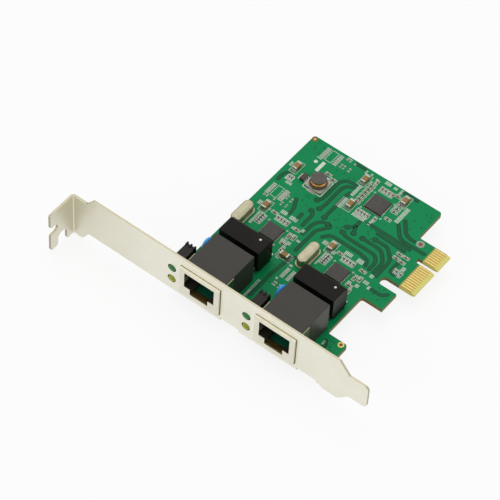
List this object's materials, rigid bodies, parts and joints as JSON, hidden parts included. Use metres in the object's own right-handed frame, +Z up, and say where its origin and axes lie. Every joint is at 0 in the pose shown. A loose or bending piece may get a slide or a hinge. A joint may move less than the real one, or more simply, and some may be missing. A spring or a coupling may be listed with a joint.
{
  "type": "network interface card",
  "caption": "Plug-in network card: a green circuit board with an edge connector and a full-height steel bracket that carries shielded jacks and status lights.",
  "frame": {"origin": "on the seat face of the bracket's screw tab (X = 0), in the plane of the bracket's outer face (Y = 0), level with the board's component side (Z = 0)", "axes": "+X along the bracket from the screw tab to the tongue, +Y from the bracket into the computer, +Z up from the board's component side"},
  "size_m": [0.1201, 0.0916, 0.0225],
  "materials": {
    "bracket_steel": "satin plated steel",
    "board_laminate": "green solder mask over glass laminate",
    "gold_plate": "gilded",
    "jack_plastic": "moulded, satin",
    "shield_plate": "bright tin plate",
    "spring_gold": "gilded wire",
    "case_plastic": "moulded epoxy",
    "tin": "tinned",
    "holder_plastic": "moulded, matte",
    "green_lens": "tinted epoxy",
    "yellow_lens": "tinted epoxy",
    "crystal_can": "nickel-plated can",
    "disc_coat": "dipped epoxy",
    "chip_epoxy": "moulded epoxy",
    "ferrite": "pressed and ground",
    "copper": "enamelled wire",
    "base_plastic": "moulded, pale",
    "capacitor_ceramic": "fired",
    "resistor_glaze": "glazed"
  },
  "bodies": {
    "root": {"bracket": "bracket_steel", "bracket_screws": "tin", "chip_capacitor_ends": "tin", "chip_capacitors": "capacitor_ceramic", "chip_resistor_ends": "tin", "chip_resistors": "resistor_glaze", "circuit_board": "board_laminate", "crystal_1": "crystal_can", "crystal_2": "crystal_can", "disc_capacitor_1": "disc_coat", "disc_capacitor_2": "disc_coat", "edge_contacts": "gold_plate", "ethernet_chip_1": "chip_epoxy", "ethernet_chip_2": "chip_epoxy", "green_led_1": "green_lens", "green_led_2": "green_lens", "inductor_base": "base_plastic", "inductor_core": "ferrite", "inductor_terminals": "tin", "inductor_winding": "copper", "jack_contacts_1": "spring_gold", "jack_contacts_2": "spring_gold", "jack_housing_1": "jack_plastic", "jack_housing_2": "jack_plastic", "jack_shield_1": "shield_plate", "jack_shield_2": "shield_plate", "large_capacitor_ends": "tin", "large_capacitors": "capacitor_ceramic", "led_holder_1": "holder_plastic", "led_holder_2": "holder_plastic", "led_leads_1": "tin", "led_leads_2": "tin", "magnetics_case_1": "case_plastic", "magnetics_case_2": "case_plastic", "magnetics_pins_1": "tin", "magnetics_pins_2": "tin", "regulator": "chip_epoxy", "regulator_pins": "tin", "switch_chip": "chip_epoxy", "yellow_led_1": "yellow_lens", "yellow_led_2": "yellow_lens"}
  },
  "joints": []
}
